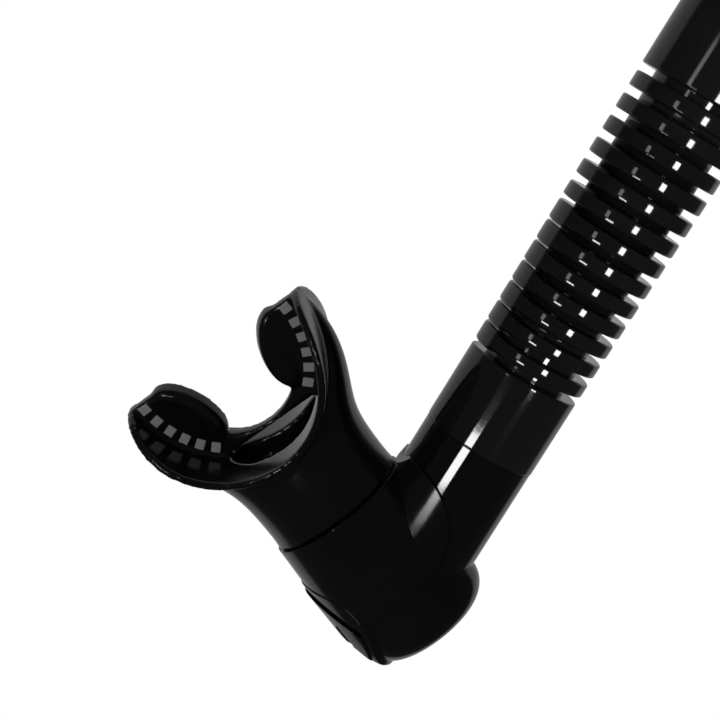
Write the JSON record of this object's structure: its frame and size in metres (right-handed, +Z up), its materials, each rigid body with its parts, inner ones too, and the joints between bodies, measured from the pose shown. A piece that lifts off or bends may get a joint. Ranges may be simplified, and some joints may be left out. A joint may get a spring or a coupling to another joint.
{
  "type": "snorkel",
  "caption": "Snorkel with a ribbed flexible hose, swivelling bite mouthpiece, bottom purge valve, mask-strap keeper and a float-closed dry top.",
  "frame": {"origin": "middle of the strap slot in the keeper's loop, where the mask strap holds the snorkel", "axes": "+Z up the straight barrel, -X from the barrel towards the mouthpiece, the mouthpiece and barrel axes in the XZ plane"},
  "size_m": [0.11, 0.0406, 0.4237],
  "materials": {
    "gloss_shell": "polished black moulding",
    "satin_plastic": "satin black moulding",
    "inner_plastic": "plain dark moulding",
    "silicone": "smooth black silicone",
    "hose_rubber": "glossy black ribbed silicone",
    "float_foam": "pale closed-cell foam",
    "steel_pin": "drawn stainless wire"
  },
  "bodies": {
    "barrel_unit": {"barrel": "gloss_shell", "top_base": "satin_plastic", "air_seat": "inner_plastic", "lever_pin": "steel_pin", "top_cap": "gloss_shell"},
    "hose": {"flex_hose": "hose_rubber"},
    "chamber_unit": {"valve_chamber": "gloss_shell", "chamber_collar": "gloss_shell", "purge_seat": "inner_plastic", "purge_seat_gasket": "silicone", "purge_cover": "gloss_shell", "swivel_o_ring": "silicone", "swivel_retaining_ring": "inner_plastic"},
    "mouth_unit": {"mouthpiece": "silicone", "swivel_insert": "inner_plastic"},
    "purge_flap": {"purge_disc": "silicone"},
    "keeper_slider": {"keeper_bush": "silicone"},
    "keeper_turner": {"keeper_ring": "satin_plastic"},
    "strap_buckle": {"strap_loop": "satin_plastic"},
    "float_rocker": {"float_lever": "inner_plastic", "seal_pad": "silicone", "float": "float_foam"}
  },
  "joints": [
    {"name": "hose_upper_bend", "type": "hinge", "parent": "barrel_unit", "child": "hose", "pos_m": [0.0246, 0, -0.142], "axis": [0, 1, 0], "range_deg": [-10, 25], "stiffness_Nm_per_rad": 0.6, "deforming": ["flex_hose"]},
    {"name": "hose_lower_bend", "type": "hinge", "parent": "hose", "child": "chamber_unit", "pos_m": [0.0246, 0, -0.182], "axis": [0, 1, 0], "range_deg": [-10, 25], "stiffness_Nm_per_rad": 0.6, "deforming": ["flex_hose"]},
    {"name": "mouthpiece_swivel", "type": "hinge", "parent": "chamber_unit", "child": "mouth_unit", "pos_m": [0.0246, 0, -0.262], "axis": [-0.9285, 0, 0.3714], "continuous": true},
    {"name": "purge_disc_lift", "type": "slide", "parent": "chamber_unit", "child": "purge_flap", "axis": [0, 0, -1], "range_m": [0, 0.0016], "stiffness_N_per_m": 40},
    {"name": "float_rock", "type": "hinge", "parent": "barrel_unit", "child": "float_rocker", "pos_m": [0.0396, 0, 0.1275], "axis": [0, -1, 0], "range_deg": [0, 12]},
    {"name": "keeper_slide", "type": "slide", "parent": "barrel_unit", "child": "keeper_slider", "axis": [0, 0, 1], "range_m": [-0.08, 0.05]},
    {"name": "keeper_turn", "type": "hinge", "parent": "keeper_slider", "child": "keeper_turner", "pos_m": [0.0246, 0, 0], "axis": [0, 0, 1], "continuous": true},
    {"name": "strap_loop_release", "type": "slide", "parent": "keeper_turner", "child": "strap_buckle", "axis": [0, 0, 1], "range_m": [0, 0.018]}
  ],
  "couplings": [
    {"joint": "hose_lower_bend", "follows": "hose_upper_bend", "ratio": 1}
  ]
}
